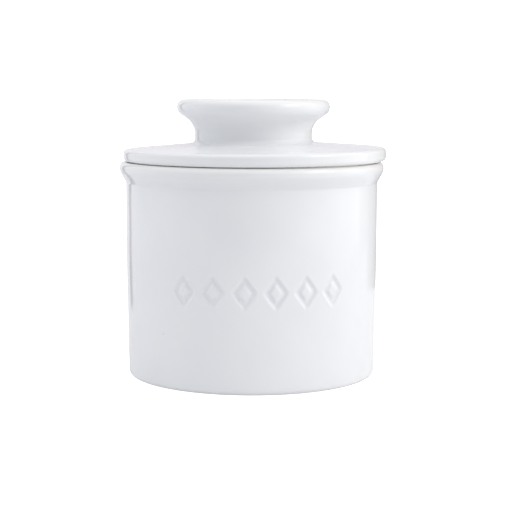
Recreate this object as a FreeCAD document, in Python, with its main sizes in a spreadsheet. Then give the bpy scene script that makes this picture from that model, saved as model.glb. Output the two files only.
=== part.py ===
import FreeCAD, Part
import math
import os
import re
import Sketcher

# Butter crock: a glazed stoneware pot with a flared rim, and its lid with a spool knob above and a
# butter bell below.  The bell hangs in the water that the pot holds, and the lid taken off stands
# upside down on its knob.  Millimetres, +Z up, origin at the middle of the pot's foot.  The
# impressed ornament, a row of lozenges, faces -Y.  Each piece is turned about Z from one outline.

SHEET = "Dims"
DIMENSIONS = [
    # The pot
    ("pot_height", 82.3, "table to the flat top of the pot's rim"),
    ("rim_radius", 50.8, "widest point of the flared rim"),
    ("rim_round", 2.1, "outer rounding of the rim's top"),
    ("flare_top", 78.9, "height where the flare meets the rim's upright edge"),
    ("flare_round", 4.0, "rounding there"),
    ("flare_foot", 74.4, "height where the flare leaves the wall"),
    ("flare_crease", 1.5, "inside rounding there"),
    ("wall_radius", 48.4, "outside of the wall, from the flare down to its bend"),
    ("wall_bend", 47.0, "height where the wall starts to draw in"),
    ("bend_round", 90.0, "rounding there, clear of the ornament"),
    ("base_radius", 47.6, "outside of the wall at the table, before rounding"),
    ("wall", 4.8, "thickness of the pot's wall"),
    ("lip_round", 1.5, "inner rounding of the rim's top"),
    ("foot_round", 2.0, "rounding between wall and foot"),
    ("foot_width", 5.0, "flat unglazed ring that the pot stands on"),
    ("foot_recess", 1.4, "height of the glazed bottom inside that ring"),
    ("recess_round", 0.6, "rounding of that step's two corners"),
    ("floor_height", 7.2, "height of the pot's inside floor"),
    ("floor_round", 6.0, "rounding between inside floor and wall"),
    # The lid's disc
    ("seat_rise", 0.3, "how far the lid's dry seat ring stands proud"),
    ("seat_inner", 43.0, "inner radius of the seat ring"),
    ("seat_outer", 48.2, "outer radius of the seat ring"),
    ("seat_round", 0.3, "rounding of the seat ring's steps"),
    ("lid_radius", 50.5, "widest point of the lid"),
    ("lid_edge", 4.6, "height of the lid's edge, before rounding"),
    ("edge_under", 1.5, "lower rounding of the lid's edge"),
    ("edge_over", 2.4, "upper rounding of the lid's edge"),
    ("lid_rise", 2.3, "climb of the lid's top from its edge to the neck"),
    ("socket_radius", 26.0, "shallow seat in the lid's top that takes the knob"),
    ("socket_depth", 0.6, "depth of that seat at its edge"),
    # The knob
    ("neck_radius", 22.55, "narrowest point of the knob"),
    ("neck_fillet", 2.6, "rounding between lid and neck"),
    ("waist_height", 96.5, "height where neck and underside of the knob would meet"),
    ("waist_round", 7.0, "rounding there"),
    ("knob_radius", 29.4, "widest point of the knob"),
    ("knob_edge", 101.3, "height where underside and edge of the knob would meet"),
    ("edge_low", 3.5, "rounding there"),
    ("top_height", 106.0, "table to the top of the knob"),
    ("edge_top", 2.8, "upper rounding of the knob's edge"),
    ("knob_ring", 6.8, "from the knob's widest point in to its dished middle"),
    ("dish_depth", 1.8, "depth of the dished middle"),
    ("dish_round", 1.0, "rounding of the dish's two corners"),
    ("shell", 5.0, "thickness of the hollow knob"),
    ("shell_round", 2.5, "rounding of the hollow's upper corner"),
    # The butter bell
    ("bell_mouth", 30.0, "height of the bell's mouth"),
    ("mouth_radius", 37.0, "outside of the bell at its mouth"),
    ("bell_bend", 52.0, "height where the bell starts to flare"),
    ("bell_radius", 33.0, "outside of the bell there"),
    ("bell_round", 90.0, "rounding there"),
    ("root_radius", 31.8, "outside of the bell near the lid"),
    ("root_height", 79.0, "height where the bell's root starts to spread"),
    ("root_spread", 3.0, "how far the root spreads against the lid, each way"),
    ("root_round", 4.0, "rounding there"),
    ("bell_wall", 4.2, "thickness of the bell"),
    ("bell_lip", 1.9, "rounding of the bell's lip"),
    # The impressed ornament
    ("motif_height", 37.4, "height of the row's centre line"),
    ("motif_depth", 0.6, "depth of a lozenge at its centre line"),
    ("motif_reach", 5.0, "from the floor of a lozenge out past the wall"),
    ("motif_tall", 12.8, "height of one lozenge"),
    ("motif_wide", 9.6, "width of one lozenge"),
    ("motif_line", 2.4, "width of its impressed line, measured level"),
    ("motif_pitch", 13.6, "degrees round the pot from one lozenge to the next"),
    ("motif_turn", 3.9, "degrees from the front to the middle of the row"),
    ("motif_count", 6, "lozenges in the row"),
]

# Lengths that follow from the sheet's, each in terms of the sheet's names and the ones above it.
DERIVED = [
    ("foot_inner", "base_radius - foot_round - foot_width"),
    ("lid_under", "pot_height + seat_rise"),
    ("lid_top", "lid_under + lid_edge"),
    ("neck_foot", "lid_top + lid_rise"),
    ("socket_top", "neck_foot - lid_rise * (socket_radius - neck_radius) / (lid_radius - neck_radius)"),
    ("socket_floor", "socket_top - socket_depth"),
    ("dish_floor", "top_height - dish_depth"),
    ("dish_radius", "knob_radius - knob_ring"),
    ("hollow_radius", "neck_radius - shell"),
    ("motif_floor", "base_radius + (wall_radius - base_radius) * motif_height / wall_bend - motif_depth"),
    ("first_turn", "motif_turn - motif_pitch * (motif_count - 1) / 2"),
    ("inner_share", "1 - 2 * motif_line / motif_wide"),
]

# Outlines: distance from the axis, height, and rounding of the corner or None.  They run round the
# section and close on their first corner.
POT = [
    ("rim_radius", "pot_height", "rim_round"),
    ("rim_radius", "flare_top", "flare_round"),
    ("wall_radius", "flare_foot", "flare_crease"),
    ("wall_radius", "wall_bend", "bend_round"),
    ("base_radius", "0", "foot_round"),
    ("foot_inner", "0", "recess_round"),
    ("foot_inner - foot_recess", "foot_recess", "recess_round"),
    ("0", "foot_recess", None),
    ("0", "floor_height", None),
    ("base_radius - wall", "floor_height", "floor_round"),
    ("wall_radius - wall", "pot_height", "lip_round"),
]
LID_DISC = [
    ("0", "lid_under", None),
    ("seat_inner - seat_rise", "lid_under", "seat_round"),
    ("seat_inner", "pot_height", "seat_round"),
    ("seat_outer", "pot_height", "seat_round"),
    ("seat_outer + seat_rise", "lid_under", "seat_round"),
    ("lid_radius", "lid_under", "edge_under"),
    ("lid_radius", "lid_top", "edge_over"),
    ("socket_radius", "socket_top", None),
    ("socket_radius", "socket_floor", None),
    ("0", "socket_floor", None),
]
LID_KNOB = [
    ("socket_radius", "socket_floor", None),
    ("socket_radius", "socket_top", None),
    ("neck_radius", "neck_foot", "neck_fillet"),
    ("neck_radius", "waist_height", "waist_round"),
    ("knob_radius", "knob_edge", "edge_low"),
    ("knob_radius", "top_height", "edge_top"),
    ("dish_radius", "top_height", "dish_round"),
    ("dish_radius - dish_depth", "dish_floor", "dish_round"),
    ("0", "dish_floor", None),
    ("0", "dish_floor - shell", None),
    ("hollow_radius", "dish_floor - shell", "shell_round"),
    ("hollow_radius", "socket_floor", None),
]
BUTTER_BELL = [
    ("root_radius + root_spread", "lid_under", None),
    ("root_radius", "root_height", "root_round"),
    ("bell_radius", "bell_bend", "bell_round"),
    ("mouth_radius", "bell_mouth", "bell_lip"),
    ("mouth_radius - bell_wall", "bell_mouth", "bell_lip"),
    ("bell_radius - bell_wall", "bell_bend", "bell_round"),
    ("root_radius - bell_wall", "root_height", "root_round"),
    ("root_radius - bell_wall - root_spread", "lid_under", None),
]
VERTICAL = FreeCAD.Vector(0, 1, 0)    # the upright direction of a sketch on the XZ plane


def make_sheet(doc):
    sheet = doc.addObject("Spreadsheet::Sheet", SHEET)
    for row, (name, value, meaning) in enumerate(DIMENSIONS, start=1):
        sheet.set("A%d" % row, meaning)
        sheet.set("B%d" % row, str(value))
        sheet.setAlias("B%d" % row, name)
    doc.recompute()


def expression(length):
    """The length as an expression on the sheet's cells, which any object can hold."""
    for name, meaning in reversed(DERIVED):
        length = re.sub(r"\b%s\b" % name, "(%s)" % meaning, length)
    names = "|".join(name for name, _, _ in DIMENSIONS)
    return re.sub(r"\b(%s)\b" % names, SHEET + r".\1", length)


def evaluate(owner, length):
    return float(owner.evalExpression(expression(length)))


def constrain(sketch, kind, length, *ends):
    """Adds a constraint whose length follows the sheet."""
    index = sketch.addConstraint(Sketcher.Constraint(kind, *ends, evaluate(sketch, length)))
    sketch.setExpression("Constraints[%d]" % index, expression(length))


def rounded_corner(before, here, after, radius):
    """Start, middle and end of the arc that rounds the corner at here."""
    to_before = (before - here).normalize()
    to_after = (after - here).normalize()
    half_angle = to_before.getAngle(to_after) / 2
    inwards = (to_before + to_after).normalize()
    reach = radius / math.tan(half_angle)
    middle = here + inwards * (radius / math.sin(half_angle) - radius)
    return here + to_before * reach, middle, here + to_after * reach


def join_sharp(sketch, corner, line_in, line_out):
    sketch.addConstraint(Sketcher.Constraint("Coincident", line_in, 2, corner, 1))
    sketch.addConstraint(Sketcher.Constraint("Coincident", line_out, 1, corner, 1))


def join_rounded(sketch, corner, line_in, line_out, points, rounding):
    """Both lines aim at the corner and end on the arc that rounds it off."""
    arc = sketch.addGeometry(Part.Arc(*points), False)
    starts_there = sketch.getPoint(arc, 1).isEqual(points[0], 1e-6)
    first, last = (1, 2) if starts_there else (2, 1)
    sketch.addConstraint(Sketcher.Constraint("PointOnObject", corner, 1, line_in))
    sketch.addConstraint(Sketcher.Constraint("PointOnObject", corner, 1, line_out))
    sketch.addConstraint(Sketcher.Constraint("Tangent", line_in, 2, arc, first))
    sketch.addConstraint(Sketcher.Constraint("Tangent", line_out, 1, arc, last))
    constrain(sketch, "Radius", rounding, arc)


def draw_outline(sketch, corners):
    """Draws a closed outline, fully constrained by its corner points and roundings."""
    places = [FreeCAD.Vector(evaluate(sketch, x), evaluate(sketch, y), 0) for x, y, _ in corners]
    after = places[1:] + places[:1]
    arcs = []
    for i, (_, _, rounding) in enumerate(corners):
        points = (places[i], places[i], places[i])
        if rounding is not None:
            points = rounded_corner(places[i - 1], places[i], after[i], evaluate(sketch, rounding))
        arcs.append(points)
    lines = []
    for i, (x, y, _) in enumerate(corners):
        start, end = arcs[i][2], arcs[(i + 1) % len(arcs)][0]
        if (end - start).dot(after[i] - places[i]) <= 0:
            raise RuntimeError("the roundings after corner %s, %s overlap" % (x, y))
        lines.append(sketch.addGeometry(Part.LineSegment(start, end), False))
    for i, (x, y, rounding) in enumerate(corners):
        corner = sketch.addGeometry(Part.Point(places[i]), True)
        constrain(sketch, "DistanceX", x, -1, 1, corner, 1)
        constrain(sketch, "DistanceY", y, -1, 1, corner, 1)
        if rounding is None:
            join_sharp(sketch, corner, lines[i - 1], lines[i])
        else:
            join_rounded(sketch, corner, lines[i - 1], lines[i], arcs[i], rounding)


def origin_feature(body, role):
    """One of the body's own origin planes or axes."""
    return next(feature for feature in body.Origin.OriginFeatures if feature.Role == role)


def new_sketch(body, name):
    """A sketch on the body's XZ plane."""
    sketch = body.newObject("Sketcher::SketchObject", name)
    sketch.AttachmentSupport = [(origin_feature(body, "XZ_Plane"), "")]
    sketch.MapMode = "FlatFace"
    return sketch


def turned_body(doc, label, corners):
    body = doc.addObject("PartDesign::Body", label)
    body.Label = label
    outline = new_sketch(body, label + "_outline")
    draw_outline(outline, corners)
    doc.recompute()
    turned = body.newObject("PartDesign::Revolution", label + "_turned")
    turned.Profile = outline
    turned.ReferenceAxis = (origin_feature(body, "Z_Axis"), [""])
    turned.Angle = 360
    body.Tip = turned
    doc.recompute()
    return body


def lozenge(share):
    """Corners of a lozenge about the sketch's origin, as a share of the motif's full size."""
    side = "(%s) * motif_wide / 2" % share
    top = "(%s) * motif_tall / 2" % share
    return [(side, "0", None), ("0", top, None), ("-" + side, "0", None), ("0", "-" + top, None)]


def motif_sketch(body):
    """A lozenge and its inside, on the floor of the row's leftmost lozenge."""
    sketch = new_sketch(body, "motif_outline")
    draw_outline(sketch, lozenge("1"))
    draw_outline(sketch, lozenge("inner_share"))
    sketch.AttachmentOffset = FreeCAD.Placement(FreeCAD.Vector(), FreeCAD.Rotation(VERTICAL, 0))
    for part_of_offset, length in (
        ("Base.x", "(motif_floor) * sin(first_turn)"),
        ("Base.y", "motif_height"),
        ("Base.z", "(motif_floor) * cos(first_turn)"),
        ("Rotation.Angle", "first_turn"),
    ):
        sketch.setExpression("AttachmentOffset." + part_of_offset, expression(length))
    return sketch


def impress_row(doc, body):
    """Cuts one lozenge outwards from its floor, and repeats the cut round the pot."""
    plain = body.Shape.Volume
    sketch = motif_sketch(body)
    doc.recompute()
    cut = body.newObject("PartDesign::Pocket", "motif_cut")
    cut.Profile = sketch
    cut.Reversed = True
    cut.setExpression("Length", expression("motif_reach"))
    body.Tip = cut
    doc.recompute()
    one = plain - body.Shape.Volume

    row = body.newObject("PartDesign::PolarPattern", "motif_row")
    row.Originals = [cut]
    row.Axis = (origin_feature(body, "Z_Axis"), [""])
    row.Mode = "Spacing"
    row.setExpression("Offset", expression("motif_pitch"))
    row.setExpression("Occurrences", expression("motif_count"))
    body.Tip = row
    doc.recompute()
    lozenges = (plain - body.Shape.Volume) / one
    if round(lozenges) != evaluate(sketch, "motif_count"):
        raise RuntimeError("the row has %.2f lozenges" % lozenges)


def check(doc, bodies):
    for item in doc.Objects:
        if "Invalid" in item.State or "Error" in item.State:
            raise RuntimeError("%s failed: %s" % (item.Label, item.State))
    for body in bodies:
        if body.Shape.isNull() or not body.Shape.isValid() or len(body.Shape.Solids) != 1:
            raise RuntimeError("%s is not one sound solid" % body.Label)


def main():
    doc = FreeCAD.newDocument("ButterCrock")
    make_sheet(doc)
    pot = turned_body(doc, "crock_pot", POT)
    impress_row(doc, pot)
    disc = turned_body(doc, "lid_disc", LID_DISC)
    knob = turned_body(doc, "lid_knob", LID_KNOB)
    bell = turned_body(doc, "butter_bell", BUTTER_BELL)
    bodies = [pot, disc, knob, bell]
    check(doc, bodies)

    os.makedirs("parts", exist_ok=True)
    for body in bodies:
        body.Shape.exportStep("parts/%s.step" % body.Label)
        box = body.Shape.optimalBoundingBox()
        print("%s: %.1f x %.1f x %.1f mm, %.1f cm3"
              % (body.Label, box.XLength, box.YLength, box.ZLength, body.Shape.Volume / 1000))


main()
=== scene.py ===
import math

import bpy
import numpy as np
from mathutils import Matrix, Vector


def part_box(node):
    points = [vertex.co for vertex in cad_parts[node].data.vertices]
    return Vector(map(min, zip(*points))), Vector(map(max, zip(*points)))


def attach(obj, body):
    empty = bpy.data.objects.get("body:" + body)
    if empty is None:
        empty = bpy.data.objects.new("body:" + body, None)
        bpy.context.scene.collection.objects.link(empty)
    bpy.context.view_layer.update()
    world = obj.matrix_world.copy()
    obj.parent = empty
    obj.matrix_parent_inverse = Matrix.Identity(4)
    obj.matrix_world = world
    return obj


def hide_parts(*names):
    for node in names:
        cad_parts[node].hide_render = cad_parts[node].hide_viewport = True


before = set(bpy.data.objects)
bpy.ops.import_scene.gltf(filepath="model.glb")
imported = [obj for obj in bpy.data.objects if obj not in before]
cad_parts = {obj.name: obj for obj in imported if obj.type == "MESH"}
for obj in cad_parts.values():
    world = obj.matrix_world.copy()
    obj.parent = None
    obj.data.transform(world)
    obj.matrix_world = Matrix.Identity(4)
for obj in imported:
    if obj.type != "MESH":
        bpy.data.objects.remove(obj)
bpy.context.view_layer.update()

# Butter crock, a glazed stoneware pot with a lid.  Every piece is a turned form: an outline of
# straight runs and rounded corners, taken round the upright axis with a fine mesh, slightly out of
# round as fired ware is.  The glaze is one material on all of them, wiped off where ware stands.

MM = 0.001

# ---------------------------------------------------------------- sizes, in millimetres

def span(node):
    """Largest radius, lowest and highest point of a CAD node."""
    low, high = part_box(node)
    return high[0] / MM, low[2] / MM, high[2] / MM


RIM, FOOT_Z, POT_TOP = span("crock_pot")
LID, SEAT_Z, _ = span("lid_disc")
KNOB, _, TOP = span("lid_knob")
MOUTH_Z = span("butter_bell")[1]

WALL_OUT, WALL_IN, BASE = 48.4, 43.6, 47.6     # outside and bore at the rim, outside at the table
WALL_BEND = 47.0
FOOT_IN, FOOT_UP = 40.6, 1.4
FLOOR = 7.2
LID_UNDER = SEAT_Z + 0.3
LID_TOP = LID_UNDER + 4.6
NECK = 22.55
NECK_FOOT = LID_TOP + 2.3
SOCKET = 26.0
SOCKET_TOP = NECK_FOOT - 2.3 * (SOCKET - NECK) / (LID - NECK)
SOCKET_FLOOR = SOCKET_TOP - 0.6
DISH = TOP - 1.8
BELL_WALL = 4.2

MOTIF_Z, MOTIF_TURN, MOTIF_PITCH, MOTIF_COUNT = 37.4, 3.9, 13.6, 6
MOTIF_WIDE, MOTIF_TALL, MOTIF_LINE = 9.6, 12.8, 2.4
MOTIF_DEPTH = 0.5

LID_TILT = 0.01         # how much the disc's upper side climbs to the right
LID_SHIFT = 0.7         # how far right of the pot's middle the knob and bell sit,
DISC_SHIFT = 0.5        # and how much further the disc's edge does

# Colours of the glaze, over the clay, and of the clay itself.
GLAZE_WHITE = (0.845, 0.849, 0.856)
GLAZE_COOL = (0.828, 0.834, 0.844)
GLAZE_THIN = (0.866, 0.861, 0.842)
# The pooled colour is partly thicker glaze in hollows and partly painted shade in the creases, corners and
# grooves it darkens.
GLAZE_POOLED_AND_SHADED = (0.755, 0.775, 0.800)
PINHOLE = (0.55, 0.55, 0.54)
CLAY_LIGHT = (0.870, 0.835, 0.780)
CLAY_DARK = (0.825, 0.785, 0.725)

# The light tent: its brightness by direction, in degrees to the right of the camera as seen from the
# object.  It is dark where the camera looks in, warmer and brighter on the right than on the left.
TENT = {
    -180: (0.95, 0.93, 0.98),
    -150: (1.12, 1.10, 1.15),
    -120: (1.14, 1.17, 1.22),
    -85: (1.32, 1.37, 1.44),
    -45: (1.05, 1.07, 1.14),
    -25: (0.42, 0.42, 0.45),
    -10: (0.15, 0.15, 0.15),
    10: (0.34, 0.37, 0.38),
    35: (0.88, 0.94, 1.00),
    60: (1.45, 1.50, 1.55),
    80: (1.65, 1.56, 1.50),
    105: (1.30, 1.26, 1.24),
    130: (0.70, 0.70, 0.70),
    155: (0.45, 0.45, 0.46),
    180: (0.95, 0.93, 0.98),
}
TENT_ROOF = (1.32, 1.32, 1.35)
BRIGHTEST = 2.5
TENT_POWER = 0.85
TABLE = 0.5             # radius, in metres

# Outlines, as (distance from the axis, height, rounding): from the axis round to the axis, or closed.
POT = [
    (0, FOOT_UP, 0),
    (FOOT_IN - 1.4, FOOT_UP, 0.8),
    (FOOT_IN, FOOT_Z, 0.7),
    (BASE, FOOT_Z, 2.0),
    (WALL_OUT, WALL_BEND, 90),
    (WALL_OUT, 74.4, 1.5),
    (RIM, 78.9, 4.0),
    (RIM, POT_TOP, 2.1),
    (WALL_IN, POT_TOP, 1.5),
    (BASE - 4.8, FLOOR, 6.0),
    (0, FLOOR, 0),
]
LID_DISC = [
    (0, LID_UNDER, 0),
    (42.7, LID_UNDER, 0.3),
    (43.0, SEAT_Z, 0.3),
    (48.2, SEAT_Z, 0.3),
    (48.5, LID_UNDER, 0.3),
    (LID, LID_UNDER, 1.5),
    (LID, LID_TOP, 1.5),
    (SOCKET, SOCKET_TOP, 0),
    (SOCKET, SOCKET_FLOOR, 0),
    (0, SOCKET_FLOOR, 0),
]
LID_KNOB = [
    (SOCKET, SOCKET_FLOOR, 0),
    (SOCKET, SOCKET_TOP, 0),
    (NECK, NECK_FOOT, 2.0),
    (NECK, 96.5, 7.0),
    (KNOB, 101.3, 3.5),
    (KNOB, TOP, 2.8),
    (KNOB - 6.8, TOP, 1.0),
    (KNOB - 8.6, DISH, 1.0),
    (0, DISH, 0),
    (0, DISH - 5.0, 0),
    (NECK - 5.0, DISH - 5.0, 2.5),
    (NECK - 5.0, SOCKET_FLOOR, 0),
]
BUTTER_BELL = [
    (34.8, LID_UNDER, 0),
    (31.8, 79.0, 4.0),
    (33.0, 52.0, 90),
    (37.0, MOUTH_Z, 1.9),
    (37.0 - BELL_WALL, MOUTH_Z, 1.9),
    (33.0 - BELL_WALL, 52.0, 90),
    (31.8 - BELL_WALL, 79.0, 4.0),
    (31.8 - BELL_WALL - 3.0, LID_UNDER, 0),
]


# ---------------------------------------------------------------- turned meshes

def rounded(corners, closed):
    """The outline as points, with each rounded corner as an arc of short steps."""
    places = [np.array(corner[:2], float) for corner in corners]
    count = len(places)
    points = []
    for i, (_, _, radius) in enumerate(corners):
        here = places[i]
        if not radius or (not closed and i in (0, count - 1)):
            points.append(here)
            continue
        back = places[i - 1] - here
        on = places[(i + 1) % count] - here
        back /= np.linalg.norm(back)
        on /= np.linalg.norm(on)
        half = math.acos(float(np.clip(back @ on, -1, 1))) / 2
        middle = here + (back + on) / np.linalg.norm(back + on) * radius / math.sin(half)
        first = here + back * radius / math.tan(half) - middle
        last = here + on * radius / math.tan(half) - middle
        start = math.atan2(first[1], first[0])
        turn = (math.atan2(last[1], last[0]) - start + math.pi) % (2 * math.pi) - math.pi
        steps = max(2, math.ceil(abs(turn) / math.radians(7)))
        for k in range(steps + 1):
            angle = start + turn * k / steps
            points.append(middle + radius * np.array([math.cos(angle), math.sin(angle)]))
    return points


def spaced(points, closed, spacing):
    """The same outline with its straight runs divided.  spacing(point) is the step from there."""
    ends = points[1:] + points[:1] if closed else points[1:]
    result = []
    for start, end in zip(points, ends):
        length = np.linalg.norm(end - start)
        done = 0.0
        while done < length:
            place = start + (end - start) * done / length
            result.append(place)
            done += spacing(place)
            if length - done < spacing(place) / 2:
                break
    if not closed:
        result.append(points[-1])
    return np.array(result)


def turned(name, corners, closed, angles, spacing=lambda point: 3.0, shape=None, marks=None):
    """A mesh of the outline taken round the axis.

    shape(r, z, angle) moves points and marks(r, z, angle) gives named values from 0 to 1 for the
    glaze to read, where a name left out counts as 0.  Both work on whole arrays, a row for each
    point of the outline.
    """
    outline = spaced(rounded(corners, closed), closed, spacing)
    count, turns = len(outline), len(angles)
    r = np.repeat(outline[:, 0][:, None], turns, 1)
    z = np.repeat(outline[:, 1][:, None], turns, 1)
    a = np.repeat(angles[None, :], count, 0)
    marked = marks(r, z, a) if marks else {}
    if shape:
        r, z = shape(r, z, a)
    xyz = np.stack([r * np.sin(a), -r * np.cos(a), z], -1) * MM

    # A point of the outline on the axis is one vertex, any other a ring of them.
    kept = np.ones((count, turns), bool)
    kept[outline[:, 0] < 1e-6, 1:] = False
    index = np.cumsum(kept).reshape(count, turns) - 1
    faces = []
    for i in range(count if closed else count - 1):
        j = (i + 1) % count
        for k in range(turns):
            m = (k + 1) % turns
            around = (index[i, k], index[i, m], index[j, m], index[j, k])
            face = list(dict.fromkeys(int(v) for v in around))
            if len(face) > 2:
                faces.append(face)
    mesh = bpy.data.meshes.new(name)
    mesh.from_pydata(xyz[kept].tolist(), [], faces)
    for mark, values in marked.items():
        mesh.attributes.new(mark, "FLOAT", "POINT").data.foreach_set("value", values[kept])
    mesh.update()
    mesh.shade_smooth()
    mesh.set_sharp_from_angle(angle=math.radians(35))
    piece = bpy.data.objects.new(name, mesh)
    bpy.context.collection.objects.link(piece)
    return piece


def even(turns):
    return np.linspace(0, 2 * math.pi, turns, endpoint=False)


def fine_in_front(fine, coarse, half):
    """Angles from the front, close together within half of it and further apart elsewhere."""
    middle = math.radians(MOTIF_TURN)
    half = math.radians(half)
    front = np.linspace(middle - half, middle + half, fine, endpoint=False)
    back = np.linspace(middle + half, middle + 2 * math.pi - half, coarse, endpoint=False)
    return np.concatenate([front, back])


def smooth_step(x):
    x = np.clip(x, 0, 1)
    return x * x * (3 - 2 * x)


def relief(z, angle):
    """Depth of the impressed lozenges, softened by the glaze that fills them."""
    pitch = math.radians(MOTIF_PITCH)
    first = math.radians(MOTIF_TURN) - pitch * (MOTIF_COUNT - 1) / 2
    turn = (angle - first + math.pi) % (2 * math.pi) - math.pi
    nearest = np.clip(np.round(turn / pitch), 0, MOTIF_COUNT - 1)
    side = (turn - nearest * pitch) * (WALL_OUT - 0.2)
    up = z - MOTIF_Z
    blunt = 0.55
    wide, tall = MOTIF_WIDE / 2, MOTIF_TALL / 2
    share = np.sqrt(side**2 + blunt**2) / wide + np.sqrt(up**2 + blunt**2) / tall
    beyond = (share - 1) * wide * tall / math.hypot(wide, tall)
    line = MOTIF_LINE * tall / math.hypot(wide, tall)
    edge = np.abs(beyond + line / 2) - line / 2
    groove = MOTIF_DEPTH * smooth_step((0.5 - edge) / 1.3)
    lip = 0.03 * np.exp(-(((edge - 0.9) / 0.5) ** 2))
    return groove - lip


def out_of_round(r, z, angle):
    """A few hundredths of a millimetre of firing distortion."""
    swing = 0.07 * np.sin(2 * angle + 0.7) + 0.04 * np.sin(3 * angle + z / 40 + 2.0)
    return (swing + 0.02 * np.sin(5 * angle - z / 17)) * r / WALL_OUT


def on_motif(r, z):
    return (r > BASE - 1.5) & (abs(z - MOTIF_Z) < MOTIF_TALL / 2 + 1.5)


def pot_shape(r, z, angle):
    turning = 0.035 * np.sin(2 * math.pi * r / 3.1 + 0.8 * np.sin(angle)) * (r > 2) * (r < FOOT_IN - 4)
    z = z + np.where(z < FLOOR + 0.1, turning, 0)
    moved = r + out_of_round(r, z, angle)
    return np.where(on_motif(r, z), moved - relief(z, angle), moved), z


def lid_shape(r, z, angle):
    """The lid sits a little right of the pot's middle, and its disc is thicker on that side."""
    r = r + out_of_round(r, 60.0, angle + 1.3)
    r = r + DISC_SHIFT * np.sin(angle) * smooth_step((r - SOCKET - 4) / 12)
    above = np.maximum(smooth_step((z - LID_UNDER - 1) / 4), 0.3 * (r > 48.4))
    fading = 1 - smooth_step((z - NECK_FOOT - 1) / 9)
    return r, z + LID_TILT * r * np.sin(angle) * above * fading


# ---------------------------------------------------------------- where the glaze differs, and where shade is painted into it

def pot_marks(r, z, angle):
    foot = (z < 6) & (r > FOOT_IN - 0.6)
    bare = np.where(foot, 1 - smooth_step((z - 0.15) / 0.5), 0.0)
    thin = smooth_step((z - POT_TOP + 2.6) / 1.6)
    # Pooled colour, partly thicker glaze and partly painted shade: in the lozenge grooves, the crease
    # under the rim's flare and the inside corner of the floor.
    crease_shade = np.exp(-(((z - 75.4) / 1.6) ** 2)) * (r > WALL_OUT - 1)
    groove = np.where(on_motif(r, z), relief(z, angle) / MOTIF_DEPTH, 0.0)
    corner = np.exp(-(((z - FLOOR - 1) / 1.5) ** 2)) * (r < WALL_IN) * (r > 33) * (z > FLOOR - 0.1)
    return {"bare": bare, "thin": thin, "pool": np.clip(groove + 0.5 * crease_shade + 0.6 * corner, 0, 1)}


def disc_marks(r, z, angle):
    bare = 1 - smooth_step((z - SEAT_Z) / 0.25)
    thin = 0.35 * np.exp(-(((r - LID) / 0.5) ** 2))
    return {"bare": bare, "thin": thin}


def knob_marks(r, z, angle):
    ring = smooth_step((z - TOP + 1.9) / 1.0) * smooth_step((r - KNOB + 8.2) / 1.0)
    return {"thin": ring}


def bell_marks(r, z, angle):
    lip = np.exp(-(((z - MOUTH_Z) / 0.8) ** 2))
    # The bell's root, where it meets the disc, is darkened with the pooled colour: partly thicker glaze
    # and partly painted shade.
    root_shade = np.exp(-(((z - LID_UNDER) / 2.5) ** 2))
    return {"thin": 0.6 * lip, "pool": 0.5 * root_shade}


# ---------------------------------------------------------------- materials

def add(tree, kind, inputs=None, **settings):
    """A new node with its settings, and with each input set to a value or linked to a socket."""
    node = tree.nodes.new("ShaderNode" + kind)
    for name, value in settings.items():
        setattr(node, name, value)
    for key, value in (inputs or {}).items():
        if isinstance(value, bpy.types.NodeSocket):
            tree.links.new(value, node.inputs[key])
        else:
            node.inputs[key].default_value = value
    return node


def mixed(tree, factor, a, b):
    """Colour a where the factor is 0 and b where it is 1."""
    a, b = ((*c, 1) if isinstance(c, tuple) else c for c in (a, b))
    return add(tree, "Mix", {0: factor, 6: a, 7: b}, data_type="RGBA").outputs[2]


def between(tree, value, low, high, start=0.0, end=1.0):
    """Runs from start to end as the value goes from low to high, eased at both ends."""
    inputs = {0: value, 1: low, 2: high, 3: start, 4: end}
    return add(tree, "MapRange", inputs, interpolation_type="SMOOTHSTEP").outputs[0]


def sums(tree, operation, *values):
    return add(tree, "Math", dict(enumerate(values)), operation=operation).outputs[0]


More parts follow.
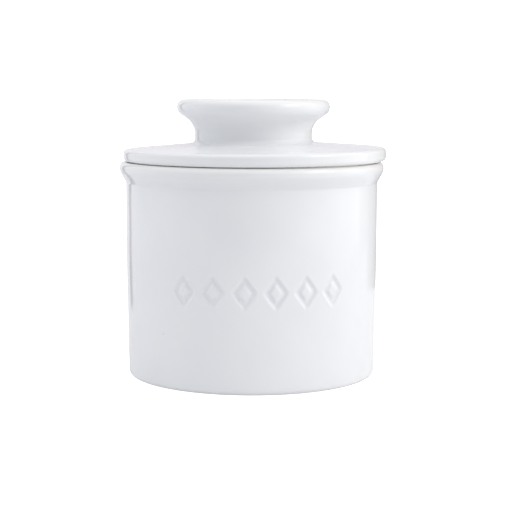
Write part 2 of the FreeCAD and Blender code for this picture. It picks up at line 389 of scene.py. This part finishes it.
def glaze_material():
    """White glaze on cream stoneware: pooled blue-grey in hollows, which is partly painted shade, thin and
    warm on sharp edges.
    """
    material = bpy.data.materials.new("white_glaze")
    material.use_nodes = True
    tree = material.node_tree
    shader = tree.nodes["Principled BSDF"]
    place = add(tree, "TexCoord").outputs["Object"]

    def mark(name):
        return add(tree, "Attribute", attribute_name=name).outputs["Fac"]

    def noise(per_metre, detail=2.0):
        return add(tree, "TexNoise", {"Vector": place, "Scale": per_metre, "Detail": detail}).outputs[0]

    clouds, ripples, grain = noise(45.0), noise(190.0, 1.0), noise(2600.0, 3.0)
    edge = sums(tree, "MULTIPLY_ADD", noise(420.0), 0.7, -0.35)
    bare = between(tree, sums(tree, "ADD", mark("bare"), edge), 0.42, 0.58)
    pores = add(tree, "TexVoronoi", {"Vector": place, "Scale": 95.0})
    rare = between(tree, add(tree, "SeparateColor", {0: pores.outputs["Color"]}).outputs[0], 0.88, 0.89)
    pinhole = sums(tree, "MULTIPLY", between(tree, pores.outputs["Distance"], 0.025, 0.05, 1.0, 0.0), rare)

    glaze = mixed(tree, between(tree, clouds, 0.35, 0.65), GLAZE_COOL, GLAZE_WHITE)
    glaze = mixed(tree, mark("thin"), glaze, GLAZE_THIN)
    # Painted shade: the pooled mark darkens grooves, creases and corners, partly as thicker glaze.
    glaze = mixed(tree, sums(tree, "MULTIPLY", mark("pool"), 0.35), glaze, GLAZE_POOLED_AND_SHADED)
    glaze = mixed(tree, sums(tree, "MULTIPLY", pinhole, 0.3), glaze, PINHOLE)
    clay = mixed(tree, between(tree, grain, 0.3, 0.7), CLAY_DARK, CLAY_LIGHT)
    tree.links.new(mixed(tree, bare, glaze, clay), shader.inputs["Base Color"])

    gloss = between(tree, clouds, 0.3, 0.7, 0.09, 0.14)
    rough = add(tree, "Mix", {0: bare, 2: gloss, 3: 0.8}).outputs[0]
    tree.links.new(rough, shader.inputs["Roughness"])
    shader.inputs["IOR"].default_value = 1.5

    dents = sums(tree, "MULTIPLY_ADD", pinhole, -0.6, ripples)
    glazed = add(tree, "Bump", {"Strength": 0.25, "Distance": 0.0002, "Height": dents})
    tooth = add(tree, "Bump", {"Strength": sums(tree, "MULTIPLY", bare, 0.5), "Distance": 0.0002,
                               "Height": grain, "Normal": glazed.outputs[0]})
    tree.links.new(tooth.outputs[0], shader.inputs["Normal"])
    return material


def floor_material():
    """Matt paper that burns out to plain white for the camera, as a lit table does."""
    material = bpy.data.materials.new("floor")
    material.use_nodes = True
    tree = material.node_tree
    shader = tree.nodes["Principled BSDF"]
    shader.inputs["Base Color"].default_value = (0.68, 0.68, 0.69, 1)
    shader.inputs["Roughness"].default_value = 0.9
    shader.inputs["Emission Color"].default_value = (1, 1, 1, 1)
    seen = add(tree, "LightPath").outputs["Is Camera Ray"]
    tree.links.new(sums(tree, "MAXIMUM", seen, 0.16), shader.inputs["Emission Strength"])
    return material


# ---------------------------------------------------------------- pieces

def pot_spacing(point):
    r, z = point
    if r > BASE - 1 and abs(z - MOTIF_Z) < MOTIF_TALL / 2 + 1.2:
        return 0.28
    return 0.7 if z < FLOOR + 2 or z > 72 else 3.0


def lid_spacing(point):
    return 0.7 if point[1] > LID_TOP - 1 or point[0] > 40 else 3.0


def make_pieces():
    glaze = glaze_material()
    pot_angles = fine_in_front(fine=320, coarse=190, half=46)
    pot = turned("pot_glazed", POT, False, pot_angles, pot_spacing, pot_shape, pot_marks)
    disc = turned("disc_glazed", LID_DISC, False, even(360), lid_spacing, lid_shape, disc_marks)
    knob = turned("knob_glazed", LID_KNOB, True, even(300), lid_spacing, lid_shape, knob_marks)
    bell = turned("bell_glazed", BUTTER_BELL, True, even(240), marks=bell_marks)
    for piece in (disc, knob, bell):
        piece.data.transform(Matrix.Translation((LID_SHIFT * MM, 0, 0)))
    for piece, node, body in (
        (pot, "crock_pot", "crock"),
        (disc, "lid_disc", "lid"),
        (knob, "lid_knob", "lid"),
        (bell, "butter_bell", "lid"),
    ):
        piece.data.materials.append(glaze)
        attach(piece, body)
        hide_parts(node)


# ---------------------------------------------------------------- studio

def stand(name, mesh, material):
    mesh.materials.append(material)
    piece = bpy.data.objects.new(name, mesh)
    bpy.context.collection.objects.link(piece)
    return piece


def add_floor():
    """A round table top.  Past its edge the glaze reflects the tent."""
    edge = [(TABLE * math.sin(a), -TABLE * math.cos(a), 0) for a in even(96)]
    mesh = bpy.data.meshes.new("floor")
    mesh.from_pydata(edge, [], [range(len(edge))])
    stand("floor", mesh, floor_material())


def add_world():
    """The tent as the world's light.  The camera itself sees plain white behind the object."""
    world = bpy.data.worlds.new("studio")
    bpy.context.scene.world = world
    world.use_nodes = True
    tree = world.node_tree
    direction = add(tree, "SeparateXYZ", {0: add(tree, "TexCoord").outputs["Generated"]})
    x, y, z = direction.outputs
    angle = sums(tree, "ARCTAN2", x, sums(tree, "MULTIPLY", y, -1.0))
    ramp = add(tree, "ValToRGB", {0: sums(tree, "MULTIPLY_ADD", angle, 0.5 / math.pi, 0.5)})
    ramp.color_ramp.interpolation = "EASE"
    stops = ramp.color_ramp.elements
    stops.remove(stops[1])
    for i, (degrees, colour) in enumerate(TENT.items()):
        stop = stops.new(degrees / 360 + 0.5) if i else stops[0]
        stop.color = (*(c / BRIGHTEST for c in colour), 1)
    roof = tuple(c / BRIGHTEST for c in TENT_ROOF)
    tent = mixed(tree, between(tree, z, 0.5, 0.85), ramp.outputs[0], roof)
    shown = mixed(tree, add(tree, "LightPath").outputs["Is Camera Ray"], tent, (1.0, 1.0, 1.0))
    background = tree.nodes["Background"]
    tree.links.new(shown, background.inputs["Color"])
    background.inputs["Strength"].default_value = BRIGHTEST * TENT_POWER


def add_lamp(turn, up, away, size, watts):
    """A soft square lamp facing the object's foot, turned to the right and raised, in degrees."""
    light = bpy.data.lights.new("lamp", "AREA")
    light.size = size
    light.energy = watts
    lamp = bpy.data.objects.new("lamp", light)
    bpy.context.collection.objects.link(lamp)
    turn, up = math.radians(turn), math.radians(up)
    level = away * math.cos(up)
    lamp.location = (level * math.sin(turn), -level * math.cos(turn), away * math.sin(up))
    lamp.rotation_euler = (math.pi / 2 - up, 0, turn)


def add_card(name, turn, away, wide, low, tone):
    """An upright card that is only seen mirrored in the glaze, dark or bright by its tone."""
    high = 0.5
    mesh = bpy.data.meshes.new(name)
    left, right = -wide / 2, wide / 2
    corners = [(left, 0, low), (right, 0, low), (right, 0, high), (left, 0, high)]
    mesh.from_pydata(corners, [], [(0, 1, 2, 3)])
    material = bpy.data.materials.new(name)
    material.use_nodes = True
    shader = material.node_tree.nodes["Principled BSDF"]
    shader.inputs["Base Color"].default_value = (0, 0, 0, 1)
    shader.inputs["Specular IOR Level"].default_value = 0
    shader.inputs["Emission Color"].default_value = (1, 1, 1, 1)
    shader.inputs["Emission Strength"].default_value = tone
    card = stand(name, mesh, material)
    angle = math.radians(turn)
    card.rotation_euler.z = angle
    card.location = (away * math.sin(angle), -away * math.cos(angle), 0)
    card.visible_camera = False
    card.visible_diffuse = False
    card.visible_shadow = False


def add_camera():
    camera = bpy.data.objects.new("camera", bpy.data.cameras.new("camera"))
    camera.data.sensor_width = 36
    camera.data.lens = 107.8
    camera.data.clip_start = 0.01
    tilt, roll = math.radians(6.69), math.radians(0.13)
    camera.matrix_world = (
        Matrix.Translation((0.00176, -0.5909, 0.11477))
        @ Matrix.Rotation(math.pi / 2 - tilt, 4, "X")
        @ Matrix.Rotation(roll, 4, "Z")
    )
    bpy.context.collection.objects.link(camera)
    bpy.context.scene.camera = camera


make_pieces()
add_floor()
add_world()
add_lamp(turn=64, up=36, away=0.8, size=0.4, watts=1.3)
add_card("flag_left", turn=-132, away=0.19, wide=0.028, low=0, tone=0.05)
add_card("flag_right", turn=140, away=0.25, wide=0.16, low=0, tone=0.4)
add_card("window", turn=92, away=0.45, wide=0.28, low=0.007, tone=1.6)
add_camera()
bpy.context.scene.view_settings.view_transform = "Standard"
